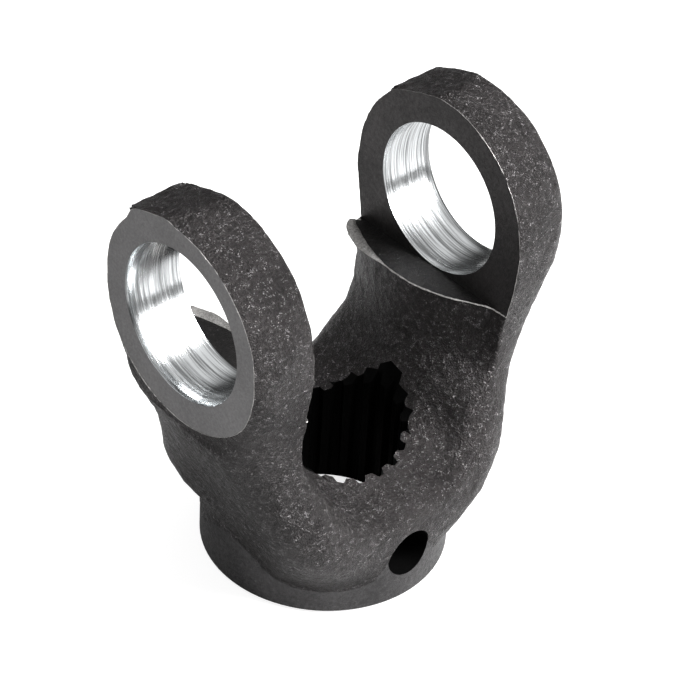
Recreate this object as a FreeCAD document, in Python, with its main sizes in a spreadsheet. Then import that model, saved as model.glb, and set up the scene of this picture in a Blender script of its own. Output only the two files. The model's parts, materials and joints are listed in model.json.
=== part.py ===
"""Forged steel yoke of a universal joint, drawn the way it is made.

The hot forging comes first: one lofted blank for hub, saddle and both arms, opened by the
drafted gap between the arms.  Then the machining: hub turned, ears faced inside and outside,
cross bores with their ring grooves, splined hub bore, cross hole for the locking pin.

Frame: Z is the hub axis and points up, X is the axis of the ear bores, and the origin is the
centre of the hub's lower end face.  Millimetres and degrees.
"""
import FreeCAD, Part
import math
import os

import Sketcher

# Driving dimensions: alias, value, what it is.
SIZES = [
    ("bore_height", 79.0, "ear bore axis above the hub's end face"),
    ("bore_radius", 17.5, "ear bore"),
    ("outer_span", 85.0, "over the faced outer sides of the ears"),
    ("inner_span", 57.0, "between the faced inner sides of the ears"),
    ("facing_stock", 2.0, "forging skin removed from each outer side"),
    ("rim_outer", 24.0, "ear rim at its outer face"),
    ("rim_inner", 25.2, "ear rim at its inner face"),
    ("rim_crown", 30.0, "radius of the rim's crowned profile"),
    ("flash_land", 24.5, "trimmed flash flat above the bore axis"),
    ("flash_front", 5.0, "flash flat in front of the bore axis"),
    ("flash_back", 9.0, "flash flat behind the bore axis"),
    ("hub_radius", 28.0, "turned hub"),
    ("hub_height", 21.0, "top of the turned hub inside the forging"),
    ("floor_height", 28.4, "saddle between the arms at the parting line"),
    ("gap_foot", 36.0, "gap between the arms where the floor fillet ends"),
    ("gap_mouth", 46.0, "gap between the raw arms at the rim's top"),
    ("floor_fillet", 12.0, "fillet between saddle and arms"),
    ("die_draft", 7.5, "draft of the gap away from the parting plane"),
    ("edge_fillet", 5.0, "rounding of the inner edges of the arms and saddle"),
    ("ledge_drop", 17.8, "ledge of the inner facing cut below the bore axis"),
    ("spline_teeth", 22.0, "teeth of the splined bore"),
    ("spline_major", 17.5, "radius at the bottom of the tooth spaces"),
    ("spline_minor", 16.0, "radius over the teeth"),
    ("space_bottom", 1.5, "width of a tooth space at the major radius"),
    ("space_mouth", 3.3, "width of a tooth space at the minor radius"),
    ("pin_height", 12.6, "cross hole above the hub's end face"),
    ("pin_radius", 5.8, "cross hole"),
    ("ring_radius", 18.6, "bottom of the retaining ring grooves"),
    ("ring_width", 2.2, "width of the retaining ring grooves"),
    ("ring_inset", 2.6, "ring groove from the outer face of the ear"),
    ("bore_chamfer", 0.8, "chamfer at the outer mouth of each ear bore"),
    ("hub_chamfer", 1.0, "chamfer round the hub's end face"),
    ("root_height", 4.0, "lowest section of the forging, hidden in the hub"),
    ("foot_height", 11.0, "section where the corners leave the hub"),
    ("saddle_height", 20.0, "section under the saddle"),
    ("arm_height", 39.0, "section where the arms stand clear of the saddle"),
    ("waist_drop", 27.0, "narrowest section of the arms, below the bore axis"),
    ("neck_drop", 14.0, "section where the arms widen into the ears, below the bore axis"),
    ("cheek_drop", 7.0, "section just under the turned half of the rims, below the bore axis"),
    ("crest_rise", 27.0, "end of the blank above the bore axis"),
]

# Plan sections of the forging from the root inside the hub up to the bore axis: name, height
# as a formula, half length over the arms (None where it follows the faced ears), half width
# of the arms, corner radius.
SECTIONS = [
    ("root", "Sizes.root_height", 24.5, 25.5, 22.0),
    ("foot", "Sizes.foot_height", 26.6, 27.2, 17.5),
    ("saddle", "Sizes.saddle_height", 30.0, 28.2, 12.0),
    ("sill", "Sizes.floor_height", 32.9, 27.2, 10.5),
    ("arm", "Sizes.arm_height", 37.0, 23.6, 10.5),
    ("waist", "Sizes.bore_height - Sizes.waist_drop", 42.2, 21.9, 10.0),
    ("neck", "Sizes.bore_height - Sizes.neck_drop", None, 24.0, 9.0),
    ("cheek", "Sizes.bore_height - Sizes.cheek_drop", None, 25.1, 7.0),
    ("ear", "Sizes.bore_height", None, 25.4, 6.5),
]
CLEAR = 20.0    # how far a cutting profile reaches past the forging


def make_sheet(doc):
    """Put every driving dimension in one spreadsheet, with its alias and its meaning."""
    sheet = doc.addObject("Spreadsheet::Sheet", "Sizes")
    rows = list(SIZES)
    for name, height, length, width, corner in SECTIONS:
        if length is not None:
            rows.append((name + "_length", length, name + " section: half length over the arms"))
        rows.append((name + "_width", width, name + " section: half width of the arms"))
        rows.append((name + "_corner", corner, name + " section: corner radius"))
    for row, (alias, value, meaning) in enumerate(rows, start=1):
        sheet.set("A%d" % row, alias)
        sheet.set("B%d" % row, str(value))
        sheet.set("C%d" % row, meaning)
        sheet.setAlias("B%d" % row, alias)
    doc.recompute()
    return sheet


doc = FreeCAD.newDocument("ForgedYoke")
sheet = make_sheet(doc)
body = doc.addObject("PartDesign::Body", "Yoke")
body.Label = "yoke"


def size(alias):
    """Value of a driving dimension, used for the first guess of a sketch's geometry."""
    return float(sheet.get(alias))


def origin(role):
    """One of the body's own origin planes or axes, found by its role."""
    for feature in body.Origin.OriginFeatures:
        if feature.Role == role:
            return feature
    raise RuntimeError("no origin feature " + role)


def new_sketch(name, plane, lift=None):
    """Sketch on an origin plane, raised along the plane's normal by an expression."""
    sketch = body.newObject("Sketcher::SketchObject", name)
    sketch.AttachmentSupport = [(origin(plane), "")]
    sketch.MapMode = "FlatFace"
    if lift:
        sketch.setExpression("AttachmentOffset.Base.z", lift)
    return sketch


def bore_sketch(name):
    """Sketch in the plane of both axes whose own origin lies on the ear bores' axis."""
    sketch = new_sketch(name, "XZ_Plane")
    sketch.setExpression("AttachmentOffset.Base.y", "Sizes.bore_height")
    return sketch


def vector(x, y):
    return FreeCAD.Vector(x, y, 0)


def drive(sketch, constraint, expression):
    """Add a dimension to a sketch and bind it to the spreadsheet."""
    index = sketch.addConstraint(constraint)
    sketch.setExpression("Constraints[%d]" % index, expression)


def polygon(sketch, points):
    """Closed chain of lines whose corners stay joined; returns the lines' numbers."""
    lines = []
    for start, end in zip(points, points[1:] + points[:1]):
        lines.append(sketch.addGeometry(Part.LineSegment(vector(*start), vector(*end)), False))
    for line, following in zip(lines, lines[1:] + lines[:1]):
        sketch.addConstraint(Sketcher.Constraint("Coincident", line, 2, following, 1))
    return lines


def offset(sketch, kind, line, point, value, formula):
    """Drive a point's distance from the sketch's origin; a negative value lies behind it."""
    ends = (-1, 1, line, point) if value >= 0 else (line, point, -1, 1)
    drive(sketch, Sketcher.Constraint(kind, *ends, abs(value)), formula)


def box(sketch, left, right, low, high):
    """Rectangle between four limits, each a signed value and the formula of its size."""
    corners = [(left[0], low[0]), (right[0], low[0]), (right[0], high[0]), (left[0], high[0])]
    lines = polygon(sketch, corners)
    for number, line in enumerate(lines):
        level = "Vertical" if number % 2 else "Horizontal"
        sketch.addConstraint(Sketcher.Constraint(level, line))
    offset(sketch, "DistanceX", lines[0], 1, *left)
    offset(sketch, "DistanceX", lines[0], 2, *right)
    offset(sketch, "DistanceY", lines[0], 1, *low)
    offset(sketch, "DistanceY", lines[2], 1, *high)


def box_pair(sketch, near, far, low, high):
    """The same rectangle on both ears, mirrored."""
    for side in (1, -1):
        box(sketch, (side * near[0], near[1]), (side * far[0], far[1]), low, high)


def centred_circle(sketch, height, radius):
    """Circle round a point on the sketch's vertical axis; both are values with formulas."""
    shape = Part.Circle(vector(0, height[0]), FreeCAD.Vector(0, 0, 1), radius[0])
    index = sketch.addGeometry(shape, False)
    drive(sketch, Sketcher.Constraint("Radius", index, radius[0]), radius[1])
    sketch.addConstraint(Sketcher.Constraint("PointOnObject", index, 3, -2))
    offset(sketch, "DistanceY", index, 3, *height)


def axial_circle(sketch, radius):
    """Circle round the sketch's origin; the radius is a value with its formula."""
    index = sketch.addGeometry(Part.Circle(vector(0, 0), FreeCAD.Vector(0, 0, 1), radius[0]), False)
    drive(sketch, Sketcher.Constraint("Radius", index, radius[0]), radius[1])
    sketch.addConstraint(Sketcher.Constraint("Coincident", index, 3, -1, 1))


def sized(alias):
    """A driving dimension as the pair of its value and its formula."""
    return size(alias), "Sizes." + alias


def rounded_rectangle(sketch, half_x, half_y, radius, names):
    """Rectangle centred on the origin, with tangent corner arcs; names are expressions."""
    inner_x, inner_y = half_x - radius, half_y - radius
    sides = [
        ((-inner_x, -half_y), (inner_x, -half_y)),
        ((half_x, -inner_y), (half_x, inner_y)),
        ((inner_x, half_y), (-inner_x, half_y)),
        ((-half_x, inner_y), (-half_x, -inner_y)),
    ]
    centres = [(inner_x, -inner_y), (inner_x, inner_y), (-inner_x, inner_y), (-inner_x, -inner_y)]
    lines, arcs = [], []
    for turn, (side, centre) in enumerate(zip(sides, centres)):
        lines.append(sketch.addGeometry(Part.LineSegment(vector(*side[0]), vector(*side[1])), False))
        start = math.radians(-90 + 90 * turn)
        circle = Part.Circle(vector(*centre), FreeCAD.Vector(0, 0, 1), radius)
        arcs.append(sketch.addGeometry(Part.ArcOfCircle(circle, start, start + math.pi / 2), False))
    for turn in range(4):
        sketch.addConstraint(Sketcher.Constraint("Tangent", lines[turn], 2, arcs[turn], 1))
        sketch.addConstraint(Sketcher.Constraint("Tangent", arcs[turn], 2, lines[(turn + 1) % 4], 1))
        level = "Vertical" if turn % 2 else "Horizontal"
        sketch.addConstraint(Sketcher.Constraint(level, lines[turn]))
        if turn:
            sketch.addConstraint(Sketcher.Constraint("Equal", arcs[0], arcs[turn]))
    sketch.addConstraint(Sketcher.Constraint("Symmetric", arcs[0], 3, arcs[2], 3, -1, 1))
    drive(sketch, Sketcher.Constraint("DistanceX", lines[3], 1, lines[1], 1, 2 * half_x), names[0])
    drive(sketch, Sketcher.Constraint("DistanceY", lines[0], 1, lines[2], 1, 2 * half_y), names[1])
    drive(sketch, Sketcher.Constraint("Radius", arcs[0], radius), names[2])


def cut(name, sketch, side="Symmetric", length=None):
    """Pocket through everything, or to a length given as an expression."""
    pocket = body.newObject("PartDesign::Pocket", name)
    pocket.Profile = sketch
    pocket.SideType = side
    if length is None:
        pocket.Type = "ThroughAll"
    else:
        pocket.Type = "Length"
        pocket.setExpression("Length", length)
    return pocket


def settle(what):
    """Recompute and stop if the body has failed or hasn't the change that was meant."""
    before = settle.volume
    doc.recompute()
    failed = [item.Name for item in doc.Objects if "Invalid" in item.State or "Error" in item.State]
    shape = body.Shape
    change = shape.Volume - before
    if failed or abs(change) < 1.0:
        raise RuntimeError("the body failed at %s: %s" % (what, ", ".join(failed)))
    settle.volume = shape.Volume
    print("%-18s volume %9.0f  change %8.0f" % (what, shape.Volume, change))
    return shape


settle.volume = 0.0


def forging_blank():
    """Hub, saddle and arms as one loft through the plan sections."""
    sketches = []
    for name, height, length, width, corner in SECTIONS:
        sketch = new_sketch(name.capitalize() + "Section", "XY_Plane", height)
        names = ["2 * Sizes." + name + "_length", "2 * Sizes." + name + "_width",
                 "Sizes." + name + "_corner"]
        if length is None:
            length = size("outer_span") / 2 + size("facing_stock")
            names[0] = "Sizes.outer_span + 2 * Sizes.facing_stock"
        rounded_rectangle(sketch, length, width, corner, names)
        sketches.append(sketch)
    loft = body.newObject("PartDesign::AdditiveLoft", "ForgingBlank")
    loft.Profile = sketches[0]
    loft.Sections = sketches[1:]
    loft.Ruled = False
    settle("forging blank")
    pad = body.newObject("PartDesign::Pad", "EarBlank")
    pad.Profile = sketches[-1]
    pad.setExpression("Length", "Sizes.crest_rise")
    settle("ear blank")


def arm_gap():
    """Drafted gap between the arms, with a filleted floor, open at the top."""
    top = size("bore_height") + size("crest_rise") + CLEAR
    floor = size("floor_height")
    radius = size("floor_fillet")
    foot = size("gap_foot") / 2
    mouth = size("gap_mouth") / 2
    sketch = new_sketch("GapProfile", "XZ_Plane")
    run = foot - radius
    floor_line = sketch.addGeometry(Part.LineSegment(vector(-run, floor), vector(run, floor)), False)
    walls, arcs = [], []
    for side in (1, -1):
        centre = vector(side * run, floor + radius)
        circle = Part.Circle(centre, FreeCAD.Vector(0, 0, 1), radius)
        start = -math.pi / 2 if side > 0 else math.pi
        arcs.append(sketch.addGeometry(Part.ArcOfCircle(circle, start, start + math.pi / 2), False))
        ends = [vector(side * foot, floor + radius), vector(side * mouth, top)]
        walls.append(sketch.addGeometry(Part.LineSegment(*ends), False))
    lid = sketch.addGeometry(Part.LineSegment(vector(mouth, top), vector(-mouth, top)), False)
    joints = [
        ("Tangent", floor_line, 2, arcs[0], 1),
        ("Tangent", arcs[0], 2, walls[0], 1),
        ("Coincident", walls[0], 2, lid, 1),
        ("Coincident", lid, 2, walls[1], 2),
        ("Tangent", walls[1], 1, arcs[1], 1),
        ("Tangent", arcs[1], 2, floor_line, 1),
        ("Symmetric", walls[0], 2, walls[1], 2, -2),
        ("Symmetric", floor_line, 1, floor_line, 2, -2),
        ("Equal", arcs[0], arcs[1]),
    ]
    for joint in joints:
        sketch.addConstraint(Sketcher.Constraint(*joint))
    offset(sketch, "DistanceY", floor_line, 2, floor, "Sizes.floor_height")
    offset(sketch, "DistanceY", lid, 1, top, "Sizes.bore_height + Sizes.crest_rise + %g" % CLEAR)
    drive(sketch, Sketcher.Constraint("Radius", arcs[0], radius), "Sizes.floor_fillet")
    drive(sketch, Sketcher.Constraint("DistanceX", walls[1], 1, walls[0], 1, 2 * foot), "Sizes.gap_foot")
    drive(sketch, Sketcher.Constraint("DistanceX", lid, 2, lid, 1, 2 * mouth), "Sizes.gap_mouth")
    pocket = body.newObject("PartDesign::Pocket", "ArmGap")
    pocket.Profile = sketch
    pocket.SideType = "Two sides"
    pocket.Type = "Length"
    pocket.Type2 = "Length"
    for side in ("", "2"):
        pocket.setExpression("Length" + side, "Sizes.saddle_width + %g" % (CLEAR / 2))
        pocket.setExpression("TaperAngle" + side, "Sizes.die_draft")
    settle("arm gap")


def gap_edges(blank, opened):
    """Edges along which the gap's faces meet the skin of the forging, below the crest."""
    skin = blank.Shells[0]

    def is_new(face):
        low_u, high_u, low_v, high_v = face.ParameterRange
        point = face.valueAt((low_u + high_u) / 2, (low_v + high_v) / 2)
        return skin.distToShape(Part.Vertex(point))[0] > 0.1

    new_faces = [face for face in opened.Faces if is_new(face)]
    crest = size("bore_height") + size("crest_rise")
    names = []
    for number, edge in enumerate(opened.Edges, start=1):
        middle = edge.valueAt((edge.FirstParameter + edge.LastParameter) / 2)
        on_gap = any(edge.isSame(other) for face in new_faces for other in face.Edges)
        on_skin = skin.distToShape(Part.Vertex(middle))[0] < 0.01
        if on_gap and on_skin and middle.z < crest - 0.1:
            names.append("Edge%d" % number)
    return names


def soften_gap_edges():
    """Round the long inner edges of the arms and the front and back edges of the saddle."""
    gap = body.getObject("ArmGap")
    names = gap_edges(body.getObject("EarBlank").Shape, gap.Shape)
    fillet = body.newObject("PartDesign::Fillet", "GapEdgeFillet")
    fillet.Base = (gap, names)
    fillet.setExpression("Radius", "Sizes.edge_fillet")
    settle("gap edge fillet")


def mill_ear_sides():
    """Face the ears: the inner sides down to a ledge under the bores, the outer sides flat."""
    top = (size("crest_rise") + CLEAR, "Sizes.crest_rise + %g" % CLEAR)
    half = size("inner_span") / 2
    inner = bore_sketch("InnerFacing")
    box(inner, (-half, "Sizes.inner_span / 2"), (half, "Sizes.inner_span / 2"),
        (-size("ledge_drop"), "Sizes.ledge_drop"), top)
    cut("InnerFaces", inner)
    settle("inner faces")

    near = size("outer_span") / 2
    far = near + size("facing_stock") + CLEAR
    outer = bore_sketch("OuterFacing")
    box_pair(outer, (near, "Sizes.outer_span / 2"),
             (far, "Sizes.outer_span / 2 + Sizes.facing_stock + %g" % CLEAR),
             (size("floor_height") - size("bore_height"), "Sizes.bore_height - Sizes.floor_height"),
             top)
    cut("OuterFaces", outer)
    settle("outer faces")


def turned_hub():
    """Turned cylinder of the hub, merged with the forging above it."""
    sketch = new_sketch("HubCircle", "XY_Plane")
    axial_circle(sketch, sized("hub_radius"))
    pad = body.newObject("PartDesign::Pad", "TurnedHub")
    pad.Profile = sketch
    pad.setExpression("Length", "Sizes.hub_height")
    settle("turned hub")


def revolve_cut(name, sketch, axis, angle=360.0):
    """Groove about one of the sketch's own axes, as much to one side as to the other."""
    groove = body.newObject("PartDesign::Groove", name)
    groove.Profile = sketch
    groove.ReferenceAxis = (sketch, [axis])
    groove.Midplane = True
    groove.Angle = angle
    return groove


def rim_outline(sketch, side):
    """Region outside one ear's crowned rim, between the planes of its two faces."""
    inner, outer = size("inner_span") / 2, size("outer_span") / 2
    low_edge, high_edge = size("rim_outer"), size("rim_inner")
    top, crown = high_edge + CLEAR, size("rim_crown")
    middle = FreeCAD.Vector((inner + outer) / 2, (low_edge + high_edge) / 2, 0)
    chord = FreeCAD.Vector(inner - outer, high_edge - low_edge, 0)
    sink = math.sqrt(crown ** 2 - (chord.Length / 2) ** 2) / chord.Length
    centre = vector(side * (middle.x - chord.y * sink), middle.y + chord.x * sink)
    starts = [vector(side * outer, low_edge), vector(side * inner, high_edge)]
    angles = [math.atan2((point - centre).y, (point - centre).x) for point in starts]
    rim = Part.Circle(centre, FreeCAD.Vector(0, 0, 1), crown)
    arc = sketch.addGeometry(Part.ArcOfCircle(rim, min(angles), max(angles)), False)
    near, far = (2, 1) if side > 0 else (1, 2)
    lines = []
    for start, end in (((outer, low_edge), (outer, top)), ((outer, top), (inner, top)),
                       ((inner, top), (inner, high_edge))):
        ends = [vector(side * start[0], start[1]), vector(side * end[0], end[1])]
        lines.append(sketch.addGeometry(Part.LineSegment(*ends), False))
    joints = [
        ("Coincident", arc, far, lines[0], 1),
        ("Coincident", lines[0], 2, lines[1], 1),
        ("Coincident", lines[1], 2, lines[2], 1),
        ("Coincident", lines[2], 2, arc, near),
        ("Vertical", lines[0]),
        ("Horizontal", lines[1]),
        ("Vertical", lines[2]),
    ]
    for joint in joints:
        sketch.addConstraint(Sketcher.Constraint(*joint))
    offset(sketch, "DistanceX", lines[0], 1, side * outer, "Sizes.outer_span / 2")
    offset(sketch, "DistanceX", lines[2], 1, side * inner, "Sizes.inner_span / 2")
    offset(sketch, "DistanceY", lines[0], 1, low_edge, "Sizes.rim_outer")
    offset(sketch, "DistanceY", lines[2], 2, high_edge, "Sizes.rim_inner")
    offset(sketch, "DistanceY", lines[1], 1, top, "Sizes.rim_inner + %g" % CLEAR)
    drive(sketch, Sketcher.Constraint("Radius", arc, crown), "Sizes.rim_crown")


def round_ears():
    """Turn the upper half of each blank ear into a crowned rim about the bore axis."""
    sketch = bore_sketch("RimProfile")
    rim_outline(sketch, 1)
    rim_outline(sketch, -1)
    revolve_cut("RoundedEars", sketch, "H_Axis", 180.0)
    settle("rounded ears")


def trim_flash():
    """Flat left by trimming the flash: cut across each rim's top and proud at the back."""
    inner, outer = size("inner_span") / 2, size("outer_span") / 2
    land = size("flash_land")
    flat = bore_sketch("FlashTrim")
    box_pair(flat, (inner - 1, "Sizes.inner_span / 2 - 1"), (outer + 1, "Sizes.outer_span / 2 + 1"),
             (land, "Sizes.flash_land"), (land + CLEAR, "Sizes.flash_land + %g" % CLEAR))
    cut("FlashFlat", flat)
    settle("flash flat")
    band = bore_sketch("FlashBandProfile")
    box_pair(band, (inner, "Sizes.inner_span / 2"), (outer, "Sizes.outer_span / 2"),
             (land - 4, "Sizes.flash_land - 4"), (land, "Sizes.flash_land"))
    pad = body.newObject("PartDesign::Pad", "FlashBand")
    pad.Profile = band
    pad.SideType = "Two sides"
    pad.setExpression("Length", "Sizes.flash_front")
    pad.setExpression("Length2", "Sizes.flash_back")
    settle("flash band")


def bore_ears():
    """Cross bores through both ears, their ring grooves and their outer chamfers."""
    radius = size("bore_radius")
    sketch = new_sketch("EarBore", "YZ_Plane")
    centred_circle(sketch, sized("bore_height"), sized("bore_radius"))
    cut("EarBores", sketch)
    settle("ear bores")

    rings = bore_sketch("RingGrooveProfile")
    far = size("outer_span") / 2 - size("ring_inset")
    near = far - size("ring_width")
    box_pair(rings, (near, "Sizes.outer_span / 2 - Sizes.ring_inset - Sizes.ring_width"),
             (far, "Sizes.outer_span / 2 - Sizes.ring_inset"),
             (radius - 2, "Sizes.bore_radius - 2"), sized("ring_radius"))
    grooves = revolve_cut("RingGrooves", rings, "H_Axis")
    shape = settle("ring grooves")

    mouths = []
    for number, edge in enumerate(shape.Edges, start=1):
        curve = edge.Curve
        if curve.TypeId == "Part::GeomCircle" and abs(curve.Radius - radius) < 0.01:
            if abs(abs(curve.Center.x) - size("outer_span") / 2) < 0.01:
                mouths.append("Edge%d" % number)
    chamfer = body.newObject("PartDesign::Chamfer", "BoreMouths")
    chamfer.Base = (grooves, mouths)
    chamfer.setExpression("Size", "Sizes.bore_chamfer")
    settle("bore mouths")


def spline_bore():
    """Bore of the hub and the broached tooth spaces round it."""
    sketch = new_sketch("HubBore", "XY_Plane")
    axial_circle(sketch, sized("spline_minor"))
    cut("HubBorePocket", sketch)
    settle("hub bore")

    outer, inner = size("spline_major"), size("spline_minor") - 0.5
    wide, narrow = size("space_mouth") / 2, size("space_bottom") / 2
    space = new_sketch("ToothSpace", "XY_Plane")
    lines = polygon(space, [(-narrow, -outer), (narrow, -outer), (wide, -inner), (-wide, -inner)])
    space.addConstraint(Sketcher.Constraint("Symmetric", lines[0], 1, lines[0], 2, -2))
    space.addConstraint(Sketcher.Constraint("Symmetric", lines[2], 1, lines[2], 2, -2))
    drive(space, Sketcher.Constraint("DistanceX", lines[0], 1, lines[0], 2, 2 * narrow),
          "Sizes.space_bottom")
    drive(space, Sketcher.Constraint("DistanceX", lines[2], 2, lines[2], 1, 2 * wide),
          "Sizes.space_mouth")
    drive(space, Sketcher.Constraint("DistanceY", lines[0], 1, -1, 1, outer), "Sizes.spline_major")
    drive(space, Sketcher.Constraint("DistanceY", lines[2], 1, -1, 1, inner),
          "Sizes.spline_minor - 0.5")
    pocket = cut("ToothSpacePocket", space)
    settle("first tooth space")
    pattern = body.newObject("PartDesign::PolarPattern", "SplineTeeth")
    pattern.Originals = [pocket]
    pattern.Axis = (origin("Z_Axis"), [""])
    pattern.Angle = 360.0
    pattern.setExpression("Occurrences", "Sizes.spline_teeth")
    body.Tip = pattern
    settle("spline teeth")


def pin_hole():
    """Cross hole for the locking pin, through both walls of the hub."""
    sketch = new_sketch("PinHole", "XZ_Plane")
    centred_circle(sketch, sized("pin_height"), sized("pin_radius"))
    cut("PinHolePocket", sketch)
    settle("pin hole")


def hub_edges():
    """Chamfers round the hub's lower end face: outside and at the mouth of the spline."""
    sketch = new_sketch("LeadIn", "XZ_Plane")
    reach = size("spline_major") + size("hub_chamfer")
    depth = reach - size("spline_minor") + 1
    lines = polygon(sketch, [(reach - depth, 0), (reach, 0), (reach - depth, depth)])
    sketch.addConstraint(Sketcher.Constraint("Horizontal", lines[0]))
    sketch.addConstraint(Sketcher.Constraint("Vertical", lines[2]))
    sketch.addConstraint(Sketcher.Constraint("PointOnObject", lines[0], 1, -1))
    sketch.addConstraint(Sketcher.Constraint("Equal", lines[0], lines[2]))
    drive(sketch, Sketcher.Constraint("DistanceX", -1, 1, lines[0], 2, reach),
          "Sizes.spline_major + Sizes.hub_chamfer")
    drive(sketch, Sketcher.Constraint("DistanceX", -1, 1, lines[0], 1, reach - depth),
          "Sizes.spline_minor - 1")
    lead_in = revolve_cut("SplineLeadIn", sketch, "V_Axis")
    shape = settle("spline lead-in")
    rims = []
    for number, edge in enumerate(shape.Edges, start=1):
        curve = edge.Curve
        if curve.TypeId == "Part::GeomCircle" and abs(curve.Radius - size("hub_radius")) < 0.01:
            if abs(curve.Center.z) < 0.01:
                rims.append("Edge%d" % number)
    chamfer = body.newObject("PartDesign::Chamfer", "HubChamfer")
    chamfer.Base = (lead_in, rims)
    chamfer.setExpression("Size", "Sizes.hub_chamfer")
    settle("hub chamfer")


forging_blank()
arm_gap()
soften_gap_edges()
mill_ear_sides()
turned_hub()
round_ears()
trim_flash()
bore_ears()
spline_bore()
pin_hole()
hub_edges()

if not body.Shape.isValid() or len(body.Shape.Solids) != 1:
    raise RuntimeError("the yoke isn't one valid solid")
os.makedirs("parts", exist_ok=True)
body.Shape.exportStep("parts/" + body.Label + ".step")
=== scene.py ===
"""Forged universal-joint yoke: its skin and finishes, and the studio round it.

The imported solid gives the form.  Its forged skin is refined, shaped a little further and
roughened here, the machined faces stay true, and a thin burr is raised where a flat meets the
skin.
"""
import json
import math

import bmesh
import bpy
from bpy.props import FloatProperty, FloatVectorProperty, PointerProperty
from mathutils import Matrix, Vector, kdtree, noise


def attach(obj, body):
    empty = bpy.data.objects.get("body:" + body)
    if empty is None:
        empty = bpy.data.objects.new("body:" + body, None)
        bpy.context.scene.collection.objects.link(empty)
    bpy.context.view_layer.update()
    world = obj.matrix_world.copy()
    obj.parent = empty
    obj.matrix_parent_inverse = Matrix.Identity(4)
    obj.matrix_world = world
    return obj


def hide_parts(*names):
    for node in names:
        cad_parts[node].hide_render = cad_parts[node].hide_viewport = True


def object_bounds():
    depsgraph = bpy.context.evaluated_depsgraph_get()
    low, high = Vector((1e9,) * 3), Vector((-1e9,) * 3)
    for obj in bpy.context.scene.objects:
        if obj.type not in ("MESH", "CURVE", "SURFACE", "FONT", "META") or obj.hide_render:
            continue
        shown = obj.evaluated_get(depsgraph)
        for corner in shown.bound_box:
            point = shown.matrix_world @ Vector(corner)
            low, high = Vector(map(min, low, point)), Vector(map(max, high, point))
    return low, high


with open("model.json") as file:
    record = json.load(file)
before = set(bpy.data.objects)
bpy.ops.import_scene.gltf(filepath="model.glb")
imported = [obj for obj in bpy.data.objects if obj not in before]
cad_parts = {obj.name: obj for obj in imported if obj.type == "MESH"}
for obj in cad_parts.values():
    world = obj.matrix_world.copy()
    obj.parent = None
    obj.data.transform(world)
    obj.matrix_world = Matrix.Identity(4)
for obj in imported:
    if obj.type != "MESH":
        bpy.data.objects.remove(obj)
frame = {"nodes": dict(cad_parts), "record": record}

bl_info = {
    "name": "Forged yoke",
    "version": (1, 0, 0),
    "blender": (4, 5, 0),
    "location": "View3D > Sidebar > Yoke",
    "description": "Builds the forged yoke's skin, finishes and studio",
    "category": "Object",
}

MM = 0.001
CAD_LOW, CAD_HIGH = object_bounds()
MOUNTS = {mount["name"]: mount for mount in frame["record"]["mounts"]}

# Machined forms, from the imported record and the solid's box.
BORE_HEIGHT = MOUNTS["cross_bores"]["pos_m"][2]
BORE_RADIUS = MOUNTS["cross_bores"]["dims"]["r_mm"] * MM
PIN_HEIGHT = MOUNTS["pin_hole"]["pos_m"][2]
PIN_RADIUS = MOUNTS["pin_hole"]["dims"]["r_mm"] * MM
OUTER_FACE = CAD_HIGH.x
INNER_FACE = 28.5 * MM
LEDGE_HEIGHT = 61.2 * MM
HUB_RADIUS = 28.0 * MM
SPLINE_RADIUS = 17.5 * MM
SPLINE_TOP = 42.0 * MM      # no tooth reaches higher on the saddle's walls
TOOTH_DEPTH = 1.6 * MM
CHAMFER_TOP = 1.1 * MM      # height of the chamfer round the hub's end
RING_DEPTH = 1.5 * MM       # grooves and mouths lie within this of an ear bore
FACED_RADIUS = 24.7 * MM    # the facing cutter's circle round each ear bore
NEAR = 0.02 * MM            # how far a point may lie off a face and still belong to it
UPRIGHT = 0.9               # a face whose normal is steeper than this lies level

# The arms' inner walls: curved in plan, nearest to the middle a little behind the bore axis.
WALL_NEAREST = 20.3 * MM
WALL_CENTRE = 2.0 * MM
WALL_LIMIT = INNER_FACE - 0.2 * MM
WALL_SPAN = (36 * MM, 50 * MM)      # heights between which the curve comes in
WALL_FOOT = 12 * MM                 # nothing nearer to the middle belongs to a wall
BACK_ROUNDING = 1.35                # rounding behind the nearest point, as a share of the front's
LEFT_WALL_SHARE = 0.80

# The ears: what is trimmed off the rim towards the front, on the left and the right ear.
EAR_TRIM = {-1: 1.3 * MM, 1: 0.4 * MM}

# The arm's root and the hub at the back left, in that direction from the yoke's middle.
BACK_LEFT = (-0.72, 0.69)
ROOT_REACH = 30 * MM
ROOT_TRIM = 0.25
HUB_SKIRT = (9 * MM, 14 * MM)       # heights between which the root leaves the hub's wall

# Share of the full burr along each kind of flat.
BURR_SHARE = {"ledge": 1.0, "outer": 0.4, "inner": 0.3}

# Finishes of the yoke, in the order of its material slots.
FORGED, FACED, TURNED, BORED, BROACHED, DRILLED, BURR, MILLED, LEDGE = range(9)


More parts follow.
